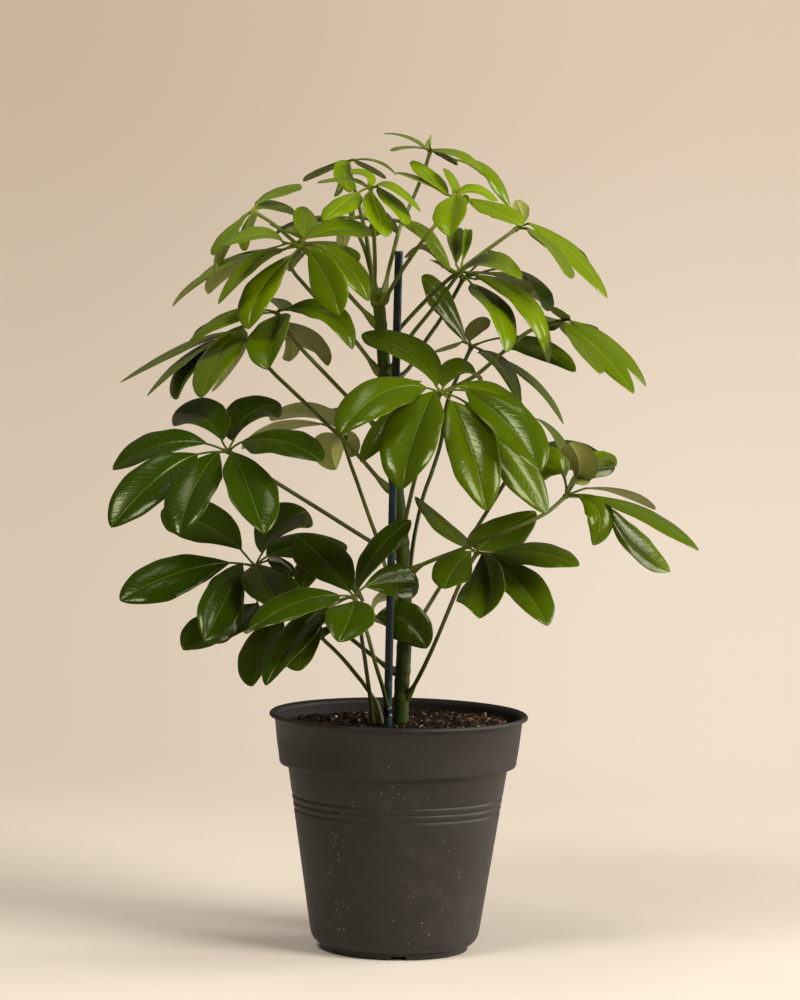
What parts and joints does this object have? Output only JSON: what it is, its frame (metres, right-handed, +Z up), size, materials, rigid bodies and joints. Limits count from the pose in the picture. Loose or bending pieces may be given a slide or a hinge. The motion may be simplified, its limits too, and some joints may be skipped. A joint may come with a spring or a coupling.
{
  "type": "potted umbrella plant",
  "caption": "Umbrella plant with whorled glossy leaves on long stalks, standing beside a support stake in a round ribbed nursery pot of potting mix.",
  "frame": {"origin": "centre of the pot's foot pad, on the surface that the pot stands on", "axes": "+Z up along the pot's axis; -Y is the side that the picture shows; +X is to its right"},
  "size_m": [0.4232, 0.3391, 0.5984],
  "materials": {
    "pot_plastic": "matt dark grey-brown moulded plastic with fine dust and scuffs",
    "potting_mix": "damp dark mix with bark chips and pale grit",
    "bark": "green to grey-brown young bark with leaf scars",
    "stake_coating": "dark blue-green plastic coating, slightly glossy",
    "stalk_green": "smooth green leaf stalk",
    "leaf_mature": "glossy dark green leaflet with pale midrib",
    "leaf_young": "glossy fresh green young leaflet"
  },
  "bodies": {
    "root": {"nursery_pot": "pot_plastic", "potting_mix": "potting_mix", "main_stem": "bark", "support_stake": "stake_coating", "leaf_stalk_01": "stalk_green", "leaf_stalk_02": "stalk_green", "leaf_stalk_03": "stalk_green", "leaf_stalk_04": "stalk_green", "leaf_stalk_05": "stalk_green", "leaf_stalk_06": "stalk_green", "leaf_stalk_07": "stalk_green", "leaf_stalk_08": "stalk_green", "leaf_stalk_09": "stalk_green", "leaf_stalk_10": "stalk_green", "leaf_stalk_11": "stalk_green", "leaf_stalk_12": "stalk_green", "leaf_stalk_13": "stalk_green", "leaf_stalk_14": "stalk_green", "leaf_stalk_15": "stalk_green", "leaf_stalk_16": "stalk_green", "leaf_stalk_17": "stalk_green", "leaf_stalk_18": "stalk_green", "leaf_stalk_19": "stalk_green", "leaf_stalk_20": "stalk_green", "leaf_stalk_21": "stalk_green", "leaf_stalk_22": "stalk_green", "leaf_stalk_23": "stalk_green", "leaf_stalk_24": "stalk_green", "leaf_stalk_25": "stalk_green", "leaf_01": "leaf_mature", "leaf_02": "leaf_mature", "leaf_03": "leaf_mature", "leaf_04": "leaf_mature", "leaf_05": "leaf_mature", "leaf_06": "leaf_mature", "leaf_07": "leaf_mature", "leaf_08": "leaf_mature", "leaf_09": "leaf_mature", "leaf_10": "leaf_mature", "leaf_11": "leaf_mature", "leaf_12": "leaf_mature", "leaf_13": "leaf_mature", "leaf_14": "leaf_young", "leaf_15": "leaf_young", "leaf_16": "leaf_young", "leaf_17": "leaf_young", "leaf_18": "leaf_young", "leaf_19": "leaf_young", "leaf_20": "leaf_young", "leaf_21": "leaf_young", "leaf_22": "leaf_young", "leaf_23": "leaf_young", "leaf_24": "leaf_young", "leaf_25": "leaf_young"}
  },
  "joints": []
}
